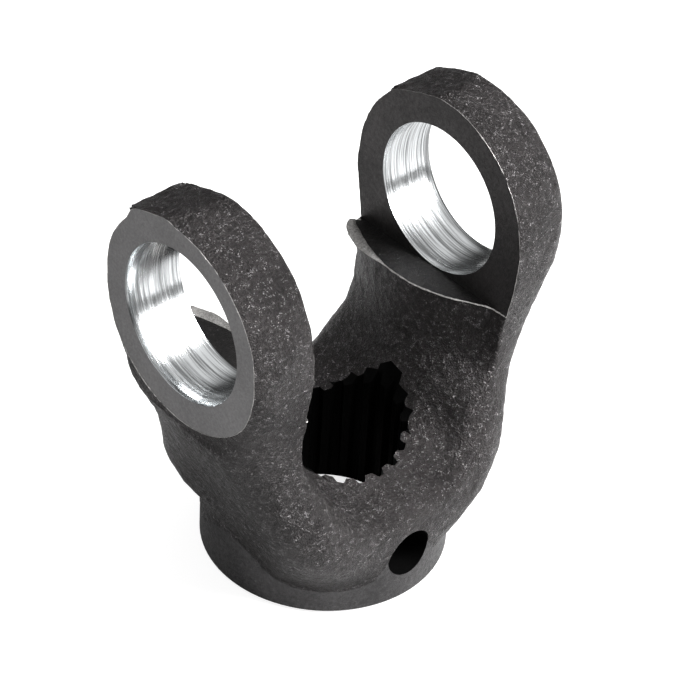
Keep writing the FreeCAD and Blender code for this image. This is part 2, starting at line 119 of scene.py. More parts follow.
class YokeSkin(bpy.types.PropertyGroup):
    """Sizes of the forged skin's own form and detail."""
    edge: FloatProperty(name="Mesh edge", description="Longest mesh edge on the forged skin",
                        default=1.0 * MM, unit="LENGTH")
    lump_size: FloatProperty(name="Lump size", description="Width of the broad unevenness",
                             default=9.0 * MM, unit="LENGTH")
    lump_height: FloatProperty(name="Lump height", description="Height of the broad unevenness",
                               default=0.22 * MM, unit="LENGTH")
    pit_size: FloatProperty(name="Pit size", description="Width of the fine unevenness",
                            default=2.4 * MM, unit="LENGTH")
    pit_height: FloatProperty(name="Pit height", description="Height of the fine unevenness",
                              default=0.15 * MM, unit="LENGTH")
    wall_radius: FloatProperty(name="Wall rounding", description="Roundness of the arms' inner "
                               "walls towards the front", default=26.0 * MM, unit="LENGTH")
    setback: FloatProperty(name="Setback", description="Skin below the faced ring on each ear",
                           default=0.6 * MM, unit="LENGTH")
    hub_rise: FloatProperty(name="Hub rise", description="How much higher the hub's wall "
                            "reaches at the back left", default=6.5 * MM, unit="LENGTH")
    rim_rise: FloatProperty(name="Rim rise", description="Rise of the spline's mouth at the "
                            "front of the saddle", default=2.2 * MM, unit="LENGTH")
    mouth: FloatProperty(name="Bore mouth", description="Breaking of the ear bores' edges",
                         default=0.3 * MM, unit="LENGTH")
    flash_turn: FloatProperty(name="Flash turn", description="Turn of the trimmed flash patch "
                              "towards the back", default=math.radians(20), subtype="ANGLE")
    burr_height: FloatProperty(name="Burr height", description="Tallest burr at a machined edge",
                               default=0.35 * MM, unit="LENGTH")
    burr_width: FloatProperty(name="Burr width", description="Width of the burr at its foot",
                              default=0.45 * MM, unit="LENGTH")
    burr_facet: FloatProperty(name="Burr facet", description="Extra width of the ledge's burr "
                              "towards the back", default=2.6 * MM, unit="LENGTH")


class YokeFinish(bpy.types.PropertyGroup):
    """Colours of the finishes."""
    scale: FloatVectorProperty(name="Forging scale", description="Dark skin of the forging",
                               subtype="COLOR", default=(0.030, 0.0275, 0.0275), min=0, max=1)
    # Painted glints: bright specks in the colour that stand in for sparkles of light on the skin's
    # grains.
    painted_glint: FloatVectorProperty(name="Fleck", description="Painted glints on the forged skin",
                               subtype="COLOR", default=(0.19, 0.182, 0.185), min=0, max=1)
    faced: FloatVectorProperty(name="Faced steel", description="Flat sides of the ears",
                               subtype="COLOR", default=(0.16, 0.157, 0.158), min=0, max=1)
    milled: FloatVectorProperty(name="Milled steel", description="Inner sides and ledges",
                                subtype="COLOR", default=(0.052, 0.049, 0.049), min=0, max=1)
    # Painted shade: the ledges are coloured much darker than the milled sides above them, standing
    # in for the shade and dark reflection of the ear over them.
    ledge: FloatVectorProperty(name="Dark ledge", description="Ledges below the inner sides",
                               subtype="COLOR", default=(0.019, 0.018, 0.018), min=0, max=1)
    turned: FloatVectorProperty(name="Turned steel", description="Outside of the hub",
                                subtype="COLOR", default=(0.060, 0.058, 0.059), min=0, max=1)
    bright: FloatVectorProperty(name="Bright steel", description="Ear bores",
                                subtype="COLOR", default=(0.74, 0.76, 0.77), min=0, max=1)
    burr: FloatVectorProperty(name="Burr", description="Raised edge of the machined flats",
                              subtype="COLOR", default=(0.36, 0.35, 0.34), min=0, max=1)
    # Painted shade: the spline and the cross hole are coloured near black and matt, standing in
    # for the shade deep inside them.
    painted_hole_shade: FloatVectorProperty(name="Painted hole shade", description="Spline and cross hole",
                               subtype="COLOR", default=(0.0015, 0.0015, 0.0015), min=0, max=1)


class YokeStudio(bpy.types.PropertyGroup):
    """Camera and lamps."""
    azimuth: FloatProperty(name="Azimuth", description="Camera's turn round the yoke",
                           default=math.radians(-43.88), subtype="ANGLE")
    elevation: FloatProperty(name="Elevation", description="Camera's height above the horizon",
                             default=math.radians(38.40), subtype="ANGLE")
    roll: FloatProperty(name="Roll", description="Camera's turn about its own line of sight",
                        default=math.radians(3.49), subtype="ANGLE")
    distance: FloatProperty(name="Distance", description="Camera to the point it looks at",
                            default=584.4 * MM, unit="LENGTH")
    lens: FloatProperty(name="Lens", description="Focal length in millimetres", default=138.66)
    key_power: FloatProperty(name="Key lamp", description="Power of the lamp overhead, in watts",
                             default=10.0)
    fill_power: FloatProperty(name="Left lamp", description="Power of the left lamp, in watts",
                              default=1.6)
    side_power: FloatProperty(name="Right lamp", description="Power of the right lamp, in watts",
                              default=17.0)
    sky: FloatProperty(name="Room light", description="Strength of the room light from above",
                       default=0.80)
    horizon: FloatProperty(name="Horizon light", description="Share of it left at the horizon",
                           default=0.05)
    floor_glow: FloatProperty(name="Floor glow", description="Light the floor shows of its own",
                              default=0.80)


# ---------------------------------------------------------------- form

def off_axis(point, axis, height):
    """Distance of a point from the X or Y line at a height, or from the Z axis."""
    if axis == "X":
        return math.hypot(point.y, point.z - height)
    if axis == "Y":
        return math.hypot(point.x, point.z - height)
    return math.hypot(point.x, point.y)


def ramp(value, start, end):
    """0 before start, 1 after end, smooth between; start may lie above end."""
    t = min(1.0, max(0.0, (value - start) / (end - start)))
    return t * t * (3 - 2 * t)


def side_of(point):
    """1 on the right arm, -1 on the left one."""
    return 1 if point.x > 0 else -1


def scale_round_bore(point, scale):
    """Move a point nearer to the ear bores' axis, or further off."""
    point.y *= scale
    point.z = BORE_HEIGHT + (point.z - BORE_HEIGHT) * scale


def finish_of(face):
    """Which machining made a face of the solid, or FORGED for the skin."""
    points = [vert.co for vert in face.verts]
    level = abs(face.normal.z) > UPRIGHT
    if all(abs(abs(p.x) - OUTER_FACE) < NEAR for p in points):
        return FACED
    if all(abs(abs(p.x) - INNER_FACE) < NEAR and p.z > LEDGE_HEIGHT - NEAR for p in points):
        return FACED
    if level and all(abs(p.z - LEDGE_HEIGHT) < NEAR for p in points):
        return FACED
    ring = BORE_RADIUS + RING_DEPTH
    if all(off_axis(p, "X", BORE_HEIGHT) < ring and abs(p.x) > INNER_FACE - NEAR for p in points):
        return BORED
    if all(abs(off_axis(p, "Y", PIN_HEIGHT) - PIN_RADIUS) < NEAR for p in points):
        return DRILLED
    teeth = SPLINE_RADIUS + TOOTH_DEPTH
    if not level and all(off_axis(p, "Z", 0) < teeth and p.z < SPLINE_TOP for p in points):
        return BROACHED
    on_hub = all(off_axis(p, "Z", 0) < HUB_RADIUS + NEAR for p in points)
    on_wall = all(off_axis(p, "Z", 0) > HUB_RADIUS - NEAR for p in points)
    if on_hub and (on_wall or max(p.z for p in points) < CHAMFER_TOP):
        return TURNED
    return FORGED


def split_triangle(corners, middle, points):
    """Parts of a triangle whose split edges have their middle point's number in a table."""
    for _ in range(3):
        a, b, c = corners
        ab, bc, ca = (middle.get((min(pair), max(pair))) for pair in ((a, b), (b, c), (c, a)))
        count = sum(mid is not None for mid in (ab, bc, ca))
        if count == 0:
            return [corners]
        if count == 3:
            return [(a, ab, ca), (ab, b, bc), (ca, bc, c), (ab, bc, ca)]
        if count == 1 and ab is not None:
            return [(a, ab, c), (ab, b, c)]
        if count == 2 and ab is None:
            if (points[a] - points[bc]).length < (points[b] - points[ca]).length:
                return [(ca, bc, c), (a, b, bc), (a, bc, ca)]
            return [(ca, bc, c), (a, b, ca), (b, bc, ca)]
        corners = (b, c, a)


def refine(bm, finishes, longest):
    """Split the long edges of these finishes; the neighbours are split along with them."""
    bm.verts.index_update()
    points = [vert.co.copy() for vert in bm.verts]
    triangles = [(tuple(vert.index for vert in face.verts), face.material_index)
                 for face in bm.faces]
    for _ in range(8):
        middle = {}
        for corners, kind in triangles:
            if kind not in finishes:
                continue
            for a, b in zip(corners, corners[1:] + corners[:1]):
                key = min(a, b), max(a, b)
                if key not in middle and (points[a] - points[b]).length > longest:
                    middle[key] = len(points)
                    points.append((points[a] + points[b]) / 2)
        if not middle:
            break
        triangles = [(part, kind) for corners, kind in triangles
                     for part in split_triangle(corners, middle, points)]
    bm.clear()
    verts = [bm.verts.new(point) for point in points]
    for corners, kind in triangles:
        bm.faces.new([verts[corner] for corner in corners]).material_index = kind
    bm.normal_update()


def even_out(bm, finishes):
    """Turn edges inside these finishes so that thin triangles become fuller ones."""
    flat = math.radians(14)
    edges = [edge for edge in bm.edges if len(edge.link_faces) == 2
             and all(face.material_index in finishes for face in edge.link_faces)
             and edge.calc_face_angle(3.0) < flat]
    faces = [face for face in bm.faces if face.material_index in finishes]
    bmesh.ops.beautify_fill(bm, faces=faces, edges=edges, method="ANGLE")


def kinds_at(vert):
    """Finishes that meet at a vertex."""
    return {face.material_index for face in vert.link_faces}


def everywhere(_point):
    """The zone that leaves nothing out."""
    return 1.0


def front_corners(point):
    """Where the right arm's inner wall turns into its front edge, below the ledge."""
    return (ramp(point.x, 0, 10 * MM) * ramp(-point.y, 11 * MM, 16 * MM)
            * ramp(point.z, 38 * MM, 44 * MM) * ramp(point.z, 66 * MM, 60 * MM))


def blend_skin(bm, rounds, zone=everywhere):
    """Relax the skin, and the hub close to it, so that creases turn into forged blends."""
    reach = 2.5 * MM
    seam = [vert for vert in bm.verts if {FORGED, TURNED} <= kinds_at(vert)]
    tree = kdtree.KDTree(len(seam))
    for index, vert in enumerate(seam):
        tree.insert(vert.co, index)
    tree.balance()
    free = []
    for vert in bm.verts:
        kinds = kinds_at(vert)
        if kinds <= {FORGED, TURNED}:
            weight = 1.0
            if kinds == {TURNED}:
                weight = max(0.0, 1.0 - tree.find(vert.co)[2] / reach)
            weight *= zone(vert.co)
            if weight:
                free.append((vert, 0.5 * weight))
    for _ in range(rounds):
        moved = []
        for vert, weight in free:
            around = [edge.other_vert(vert).co for edge in vert.link_edges]
            middle = sum(around, Vector()) / len(around)
            moved.append(vert.co.lerp(middle, weight))
        for (vert, _weight), place in zip(free, moved):
            vert.co = place


def plane_key(face):
    """Names the flat that a faced face lies in: which ear, and which side of it or its ledge."""
    centre = face.calc_center_median()
    if abs(face.normal.z) > UPRIGHT:
        return side_of(centre), "ledge"
    outer = abs(centre.x) > (INNER_FACE + OUTER_FACE) / 2
    return side_of(centre), "outer" if outer else "inner"


def soften_rims(bm, rounds):
    """Round the corners of each flat's outline, within its own plane."""
    bm.normal_update()
    rims = []
    for vert in bm.verts:
        flats = {plane_key(face) for face in vert.link_faces if face.material_index == FACED}
        if len(flats) != 1 or kinds_at(vert) != {FORGED, FACED}:
            continue
        beside = [edge.other_vert(vert) for edge in vert.link_edges
                  if {face.material_index for face in edge.link_faces} == {FORGED, FACED}]
        if len(beside) == 2:
            rims.append((vert, beside))
    for _ in range(rounds):
        places = [vert.co.lerp((one.co + two.co) / 2, 0.5) for vert, (one, two) in rims]
        for (vert, _beside), place in zip(rims, places):
            vert.co = place


def plain_bores(bm, mouth):
    """The bores run plain from face to face, with only their mouths broken."""
    for vert in bm.verts:
        out = off_axis(vert.co, "X", BORE_HEIGHT)
        if not (abs(vert.co.x) > INNER_FACE - NEAR
                and BORE_RADIUS + NEAR < out < BORE_RADIUS + RING_DEPTH):
            continue
        at_face = abs(vert.co.x) > OUTER_FACE - NEAR or abs(vert.co.x) < INNER_FACE + NEAR
        scale_round_bore(vert.co, (BORE_RADIUS + (mouth if at_face else 0.0)) / out)
    bmesh.ops.remove_doubles(bm, verts=bm.verts, dist=0.01 * MM)


def facing_circle(bm, skin):
    """Leave the facing only inside the cutter's circle; outside it the skin lies a little back."""
    step = 1.2 * MM
    most_moved = 0.06
    low = []
    for face in bm.faces:
        centre = face.calc_center_median()
        if (face.material_index == FACED and centre.z < BORE_HEIGHT
                and off_axis(centre, "X", BORE_HEIGHT) > FACED_RADIUS
                and all(abs(abs(vert.co.x) - OUTER_FACE) < NEAR for vert in face.verts)):
            low.append(face)
    for face in low:
        face.material_index = FORGED
    for vert in {vert for face in low for vert in face.verts}:
        out = off_axis(vert.co, "X", BORE_HEIGHT)
        if FACED in kinds_at(vert):
            scale = FACED_RADIUS / out
            if abs(1 - scale) < most_moved:
                scale_round_bore(vert.co, scale)
        elif out > FACED_RADIUS:
            share = ramp(out - FACED_RADIUS, 0.0, step)
            vert.co.x -= side_of(vert.co) * skin.setback * share


def round_inner_wall(p, skin):
    """Curve an arm's inner wall in plan, so that the ledge above it becomes a lens."""
    if not WALL_FOOT < abs(p.x) < WALL_LIMIT or p.z >= LEDGE_HEIGHT + NEAR:
        return
    radius = skin.wall_radius * (1.0 if p.y < WALL_CENTRE else BACK_ROUNDING)
    target = WALL_NEAREST + (WALL_CENTRE - p.y) ** 2 / (2 * radius)
    gain = max(0.0, min(target, WALL_LIMIT) - abs(p.x))
    share = 1.0 if p.x > 0 else LEFT_WALL_SHARE
    p.x += side_of(p) * gain * share * ramp(p.z, *WALL_SPAN)


def turn_ear(p, skin):
    """Turn the flash patch on an ear's top to the back, and trim the rim at the front."""
    rise = p.z - BORE_HEIGHT
    if rise <= -5 * MM or abs(p.x) <= INNER_FACE - NEAR:
        return
    out = math.hypot(p.y, rise)
    front = max(0.0, (rise - p.y) / out / math.sqrt(2))
    trimmed = out - EAR_TRIM[side_of(p)] * front ** 3
    angle = math.atan2(rise, p.y)
    share = ramp(angle, 0.0, math.radians(60)) * ramp(angle, math.pi, math.radians(120))
    angle -= skin.flash_turn * share
    p.y = trimmed * math.cos(angle)
    p.z = BORE_HEIGHT + trimmed * math.sin(angle)


def trim_root(p):
    """Take the arm's root back a little at the back left."""
    reach = BACK_LEFT[0] * p.x + BACK_LEFT[1] * p.y - ROOT_REACH
    if p.x >= 0 or reach <= 0:
        return
    share = ramp(p.z, 9 * MM, 20 * MM) * ramp(p.z, 57 * MM, 46 * MM)
    p.x -= BACK_LEFT[0] * ROOT_TRIM * reach * share
    p.y -= BACK_LEFT[1] * ROOT_TRIM * reach * share


def raise_hub_wall(p, skin):
    """Let the hub's turned wall reach higher at the back left."""
    out = off_axis(p, "Z", 0)
    if p.z >= 40 * MM or out <= HUB_RADIUS:
        return
    facing = max(0.0, (BACK_LEFT[0] * p.x + BACK_LEFT[1] * p.y) / out) ** 2
    top = skin.hub_rise * facing
    over = out - HUB_RADIUS
    cut = over * ramp(p.z, HUB_SKIRT[0] + top, HUB_SKIRT[1] + 1.6 * top)
    scale = (HUB_RADIUS + over + (cut - over) * facing) / out
    p.x *= scale
    p.y *= scale


def shape_skin(bm, skin):
    """The forging's own form: rounder inner walls, turned flash patches, a trimmed root."""
    for vert in bm.verts:
        kinds = kinds_at(vert)
        if FORGED in kinds and not kinds & {BORED, DRILLED, BROACHED}:
            round_inner_wall(vert.co, skin)
            turn_ear(vert.co, skin)
            trim_root(vert.co)
            raise_hub_wall(vert.co, skin)


def raise_saddle_rim(bm, skin):
    """The spline's mouth stands a little higher at the front of the saddle."""
    for vert in bm.verts:
        p = vert.co
        out = off_axis(p, "Z", 0)
        if p.y < 0 and out < 27 * MM and p.z > 24 * MM:
            p.z += (skin.rim_rise * ramp(-p.y, 2 * MM, 12 * MM) * ramp(out, 27 * MM, 20 * MM)
                    * ramp(p.z, 24 * MM, 27 * MM) * ramp(p.z, 48 * MM, 34 * MM))


def relief(point, skin):
    """Height of the skin's unevenness at a point."""
    broad = noise.fractal(point / skin.lump_size, 0.9, 2.1, 3)
    fine = noise.fractal(point / skin.pit_size + Vector((7.3, 1.9, 4.1)), 0.8, 2.3, 3)
    return skin.lump_height * broad + skin.pit_height * fine


def roughen(bm, skin):
    """Raise the unevenness on the skin; its edges slide along the machined faces they meet."""
    bm.normal_update()
    moves = []
    for vert in bm.verts:
        kinds = kinds_at(vert)
        if FORGED not in kinds or DRILLED in kinds or BROACHED in kinds:
            continue
        forged = [face for face in vert.link_faces if face.material_index == FORGED]
        normal = sum((face.normal * face.calc_area() for face in forged), Vector()).normalized()
        move = normal * relief(vert.co, skin)
        for face in vert.link_faces:
            if face.material_index in (FACED, TURNED):
                move -= face.normal * move.dot(face.normal)
        moves.append((vert, move))
    for vert, move in moves:
        vert.co += move


def burr_size(kind, place, skin):
    """Height and width of the ragged burr at a place on a flat's outline."""
    wave_length = 3.2 * MM
    wave = noise.fractal(place / wave_length + Vector((5.0, 0, 2.0)), 1.0, 2.0, 3)
    size = BURR_SHARE[kind] * (0.45 + 0.75 * abs(wave))
    width = skin.burr_width * size
    if kind == "ledge":
        room = INNER_FACE - abs(place.x)
        width = min(width + skin.burr_facet * ramp(place.y, 5 * MM, 16 * MM), 0.8 * room)
    return skin.burr_height * size, width


def edge_with_burr(bm, edges, kind, normal, skin):
    """Raise a ridge inside a flat's outline where it meets the skin.

    Returns the corners of the ridge's faces, the pairs of vertices along its foot and the
    edges of the outline that have no ridge.
    """
    runs = [edge for edge in edges
            if any(face.material_index == FORGED for face in edge.link_faces)]
    inward, count = {}, {}
    for edge in runs:
        flat = next(face for face in edge.link_faces if face.material_index == FACED)
        into = flat.calc_center_median() - edge.verts[0].co
        along = (edge.verts[1].co - edge.verts[0].co).normalized()
        into = (into - along * into.dot(along)).normalized()
        for vert in edge.verts:
            inward[vert] = inward.get(vert, Vector()) + into
            count[vert] = count.get(vert, 0) + 1
    crest = {vert: vert for vert in inward}
    foot = dict(crest)
    for vert, into in inward.items():
        if count[vert] == 2 and into.length > 0.5:
            into.normalize()
            height, width = burr_size(kind, vert.co, skin)
            crest[vert] = bm.verts.new(vert.co + normal * height + into * 0.3 * width)
            foot[vert] = bm.verts.new(vert.co + into * width)
    rows = []
    for edge in runs:
        loop = next(loop for loop in edge.link_loops if loop.face.material_index == FORGED)
        first, second = loop.vert, edge.other_vert(loop.vert)
        rows.append((second, first, crest[first], crest[second]))
        rows.append((crest[second], crest[first], foot[first], foot[second]))
    plain = [edge for edge in edges if edge not in set(runs)]
    return rows, [tuple(foot[vert] for vert in edge.verts) for edge in runs], plain


def refill_flats(bm, skin):
    """Fill each machined flat afresh inside its uneven outline, with a burr along the skin."""
    flats = {}
    for face in bm.faces:
        if face.material_index == FACED:
            flats.setdefault(plane_key(face), []).append(face)
    bm.edges.index_update()
    jobs = []
    for (_side, kind), faces in flats.items():
        inside = set(faces)
        normal = faces[0].normal.copy()
        rim = {edge for face in faces for edge in face.edges
               if any(other not in inside for other in edge.link_faces)}
        ordered = sorted(rim, key=lambda edge: edge.index)
        jobs.append((faces, rim, normal, edge_with_burr(bm, ordered, kind, normal, skin)))
    for faces, rim, normal, (rows, pairs, plain) in jobs:
        spare = {edge for face in faces for edge in face.edges if edge not in rim}
        bmesh.ops.delete(bm, geom=faces, context="FACES_ONLY")
        loose = [edge for edge in spare if edge.is_valid and not edge.link_faces]
        bmesh.ops.delete(bm, geom=loose, context="EDGES")
        for row in rows:
            corners = list(dict.fromkeys(row))
            if len(corners) > 2:
                bm.faces.new(corners).material_index = BURR
        edges = plain + [bm.edges.get(pair) or bm.edges.new(pair) for pair in pairs]
        made = bmesh.ops.triangle_fill(bm, edges=edges, use_beauty=True, normal=normal)
        for item in made["geom"]:
            if isinstance(item, bmesh.types.BMFace):
                item.material_index = FACED


def mark_sharp_edges(bm):
    """Smooth faces throughout, with the machined forms' edges kept sharp."""
    crisp = math.radians(28)
    for face in bm.faces:
        face.smooth = True
    for edge in bm.edges:
        kinds = {face.material_index for face in edge.link_faces}
        if not kinds <= {FORGED, TURNED}:
            edge.smooth = len(kinds) == 1 and edge.calc_face_angle(3.0) < crisp


def build_skin(skin):
    """The yoke's visible mesh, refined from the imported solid."""
    bm = bmesh.new()
    bm.from_mesh(frame["nodes"]["yoke"].data)
    bmesh.ops.remove_doubles(bm, verts=bm.verts, dist=0.002 * MM)
    bm.normal_update()
    for face in bm.faces:
        face.material_index = finish_of(face)
    plain_bores(bm, skin.mouth)
    refined = (FORGED, TURNED, FACED)
    refine(bm, refined, skin.edge)
    even_out(bm, refined)
    facing_circle(bm, skin)
    shape_skin(bm, skin)
    raise_saddle_rim(bm, skin)
    blend_skin(bm, 10)
    blend_skin(bm, 24, front_corners)
    soften_rims(bm, 16)
    roughen(bm, skin)
    bm.normal_update()
    refill_flats(bm, skin)
    bmesh.ops.recalc_face_normals(bm, faces=bm.faces)
    bm.normal_update()
    # The ledges get a slot of their own, whose dark colour paints shade.
    for face in bm.faces:
        if face.material_index == FACED:
            flat = plane_key(face)[1]
            face.material_index = {"outer": FACED, "inner": MILLED, "ledge": LEDGE}[flat]
    mark_sharp_edges(bm)
    mesh = bpy.data.meshes.new("yoke_skin")
    bm.to_mesh(mesh)
    bm.free()
    return mesh


# ---------------------------------------------------------------- finishes

def add(tree, kind, **values):
    """New shader node with some of its inputs set."""
    node = tree.nodes.new(kind)
    for name, value in values.items():
        node.inputs[name.replace("_", " ")].default_value = value
    return node


def join(tree, source, output, target, name):
    """Link one node's output to another's input."""
    tree.links.new(source.outputs[output], target.inputs[name])


def math_node(tree, operation, first, second, clamp=False):
    """Math node whose inputs are numbers or (node, output) pairs."""
    node = tree.nodes.new("ShaderNodeMath")
    node.operation = operation
    node.use_clamp = clamp
    for slot, value in enumerate((first, second)):
        if isinstance(value, tuple):
            tree.links.new(value[0].outputs[value[1]], node.inputs[slot])
        else:
            node.inputs[slot].default_value = value
    return node


def steel_grain():
    """Node group: uneven steel at two sizes, with a height, a slow shade and a mask of painted
    glints.
    """
    group = bpy.data.node_groups.new("Steel grain", "ShaderNodeTree")
    face = group.interface
    face.new_socket("Vector", in_out="INPUT", socket_type="NodeSocketVector")
    for name, default in (("Coarse", 900.0), ("Fine", 3200.0), ("Fleck Level", 0.62),
                          ("Fleck Size", 5200.0)):
        socket = face.new_socket(name, in_out="INPUT", socket_type="NodeSocketFloat")
        socket.default_value = default
    for name in ("Height", "Shade", "Fleck"):
        face.new_socket(name, in_out="OUTPUT", socket_type="NodeSocketFloat")
    inlet = group.nodes.new("NodeGroupInput")
    outlet = group.nodes.new("NodeGroupOutput")
    coarse = add(group, "ShaderNodeTexNoise", Detail=4.0, Roughness=0.6)
    fine = add(group, "ShaderNodeTexNoise", Detail=3.0, Roughness=0.7)
    slow = add(group, "ShaderNodeTexNoise", Scale=70.0, Detail=3.0, Roughness=0.6)
    spark = add(group, "ShaderNodeTexVoronoi")
    for node in (coarse, fine, slow, spark):
        join(group, inlet, "Vector", node, "Vector")
    join(group, inlet, "Coarse", coarse, "Scale")
    join(group, inlet, "Fine", fine, "Scale")
    join(group, inlet, "Fleck Size", spark, "Scale")
    height = math_node(group, "ADD", (math_node(group, "MULTIPLY", (coarse, "Fac"), 0.5), 0),
                       (math_node(group, "MULTIPLY", (fine, "Fac"), 0.5), 0))
    join(group, height, 0, outlet, "Height")
    join(group, slow, "Fac", outlet, "Shade")
    tone = group.nodes.new("ShaderNodeSeparateColor")
    join(group, spark, "Color", tone, "Color")
    # Painted glints: bright specks where the Voronoi cells and the coarse noise are both high,
    # standing in for sparkles of light on the grains.
    both = math_node(group, "MULTIPLY", (tone, "Red"), (coarse, "Fac"))
    over = math_node(group, "SUBTRACT", (both, 0), (inlet, "Fleck Level"))
    steep = math_node(group, "MULTIPLY", (over, 0), 14.0, clamp=True)
    join(group, steep, 0, outlet, "Fleck")
    return group


def start_material(name, **shader_values):
    """Material with a Principled shader, and the object's own coordinates."""
    material = bpy.data.materials.new(name)
    material.use_nodes = True
    tree = material.node_tree
    shader = tree.nodes["Principled BSDF"]
    for socket, value in shader_values.items():
        shader.inputs[socket.replace("_", " ")].default_value = value
    place = tree.nodes.new("ShaderNodeTexCoord")
    return material, tree, shader, place


def two_colours(tree, low, high, factor):
    """Mix of two colours by a (node, output) factor."""
    mix = tree.nodes.new("ShaderNodeMix")
    mix.data_type = "RGBA"
    mix.inputs["A"].default_value = (*low, 1)
    mix.inputs["B"].default_value = (*high, 1)
    tree.links.new(factor[0].outputs[factor[1]], mix.inputs["Factor"])
    return mix


def spread(tree, factor, low, high, to_low, to_high):
    """Map Range from one span of a (node, output) value to another."""
    node = add(tree, "ShaderNodeMapRange", From_Min=low, From_Max=high, To_Min=to_low,
               To_Max=to_high)
    tree.links.new(factor[0].outputs[factor[1]], node.inputs["Value"])
    return node


def grained(name, grain, colour, painted_glint, *, coarse, fine, level, depth, roughness, contrast,
            **values):
    """Uneven steel, with grains per metre, the bump's depth and the colour's contrast; the
    contrast paints raised grains lighter and low ones darker, as if lit and shaded, with a slow
    random tone mixed in.
    """
    material, tree, shader, place = start_material(name, **values)
    group = tree.nodes.new("ShaderNodeGroup")
    group.node_tree = grain
    group.inputs["Coarse"].default_value = coarse
    group.inputs["Fine"].default_value = fine
    group.inputs["Fleck Level"].default_value = level
    join(tree, place, "Object", group, "Vector")
    # Painted light and shade: the colour is lighter where the grain stands high and darker where
    # it lies low, as if lit and shaded; a share of slow random tone is mixed in.
    dark = tuple((1 - contrast) * part for part in colour)
    light = tuple((1 + 1.6 * contrast) * part for part in colour)
    both = math_node(tree, "ADD", (math_node(tree, "MULTIPLY", (group, "Shade"), 0.3), 0),
                     (math_node(tree, "MULTIPLY", (group, "Height"), 0.7), 0))
    shade = spread(tree, (both, 0), 0.42, 0.60, 0.0, 1.0)
    base = two_colours(tree, dark, light, (shade, "Result"))
    # Painted glints laid over the colour.
    with_painted_glint = two_colours(tree, colour, painted_glint, (group, "Fleck"))
    join(tree, base, "Result", with_painted_glint, "A")
    join(tree, with_painted_glint, "Result", shader, "Base Color")
    rough = spread(tree, (group, "Height"), 0.3, 0.7, roughness + 0.10, roughness - 0.12)
    join(tree, rough, "Result", shader, "Roughness")
    bump = add(tree, "ShaderNodeBump", Strength=1.0, Distance=depth)
    join(tree, group, "Height", bump, "Height")
    join(tree, bump, "Normal", shader, "Normal")
    return material


def bored(name, colour):
    """Bright bored steel: fine tool lines round the bore."""
    material, tree, shader, place = start_material(name, Metallic=1.0)
    lines = []
    for scale, across in ((2600.0, 60.0), (1000.0, 26.0)):
        stretch = add(tree, "ShaderNodeMapping", Scale=(scale, across, across))
        join(tree, place, "Object", stretch, "Vector")
        line = add(tree, "ShaderNodeTexNoise", Scale=1.0, Detail=3.0, Roughness=0.6)
        join(tree, stretch, "Vector", line, "Vector")
        lines.append(line)
    both = math_node(tree, "ADD", (math_node(tree, "MULTIPLY", (lines[0], "Fac"), 0.5), 0),
                     (math_node(tree, "MULTIPLY", (lines[1], "Fac"), 0.5), 0))
    tone = spread(tree, (both, 0), 0.42, 0.57, 0.0, 1.0)
    dark = tuple(0.28 * part for part in colour)
    base = two_colours(tree, dark, colour, (tone, "Result"))
    join(tree, base, "Result", shader, "Base Color")
    rough = spread(tree, (lines[1], "Fac"), 0.3, 0.7, 0.30, 0.16)
    join(tree, rough, "Result", shader, "Roughness")
    bump = add(tree, "ShaderNodeBump", Strength=1.0, Distance=0.05 * MM)
    join(tree, both, 0, bump, "Height")
    join(tree, bump, "Normal", shader, "Normal")
    return material


def finishes(colours):
    """Materials of the yoke in the order of its slots."""
    grain = steel_grain()
    # The holes' near-black matt colour paints the shade inside them.
    painted_hole_shade = {"Metallic": 0.0, "Specular_IOR_Level": 0.02}
    return [
        grained("Forged scale", grain, colours.scale, colours.painted_glint, coarse=800.0, fine=2200.0,
                level=0.465, depth=1.2 * MM, roughness=0.34, contrast=0.30, Metallic=0.85),
        grained("Faced steel", grain, colours.faced, colours.painted_glint, coarse=1500.0, fine=4200.0,
                level=0.70, depth=0.08 * MM, roughness=0.46, contrast=0.12, Metallic=0.85),
        grained("Turned steel", grain, colours.turned, colours.painted_glint, coarse=1100.0, fine=3200.0,
                level=0.60, depth=0.22 * MM, roughness=0.42, contrast=0.30, Metallic=0.85),
        bored("Bored steel", colours.bright),
        grained("Broached spline", grain, colours.painted_hole_shade, colours.painted_hole_shade, coarse=1500.0, fine=4200.0,
                level=0.80, depth=0.04 * MM, roughness=0.45, contrast=0.2, **painted_hole_shade),
        grained("Drilled steel", grain, colours.painted_hole_shade, colours.painted_hole_shade, coarse=1500.0, fine=4200.0,
                level=0.80, depth=0.04 * MM, roughness=0.55, contrast=0.2, **painted_hole_shade),
        # The burr's painted glints take the bright steel's colour.
        grained("Burr", grain, colours.burr, colours.bright, coarse=1500.0, fine=3200.0,
                level=0.60, depth=0.20 * MM, roughness=0.40, contrast=0.4, Metallic=0.9),
        grained("Milled steel", grain, colours.milled, colours.painted_glint, coarse=1100.0, fine=3200.0,
                level=0.66, depth=0.12 * MM, roughness=0.42, contrast=0.25, Metallic=0.85),
        # The ledges' dark colour paints the shade under the ears.
        grained("Dark ledge", grain, colours.ledge, colours.painted_glint, coarse=900.0, fine=2600.0,
                level=0.60, depth=0.20 * MM, roughness=0.46, contrast=0.35, Metallic=0.85),
    ]


class YOKE_OT_forging(bpy.types.Operator):
    """Build the forged and machined yoke with its finishes"""
    bl_idname = "yoke.forging"
    bl_label = "Forged yoke"

    def execute(self, context):
        mesh = build_skin(context.scene.yoke_skin)
        for material in finishes(context.scene.yoke_finish):
            mesh.materials.append(material)
        piece = bpy.data.objects.new("yoke_forging", mesh)
        context.scene.collection.objects.link(piece)
        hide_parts("yoke")
        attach(piece, "root")
        return {"FINISHED"}


# ---------------------------------------------------------------- studio

def aim(thing, target):
    """Turn a lamp so that it shines at a point."""
    thing.rotation_euler = (target - thing.location).to_track_quat("-Z", "Y").to_euler()


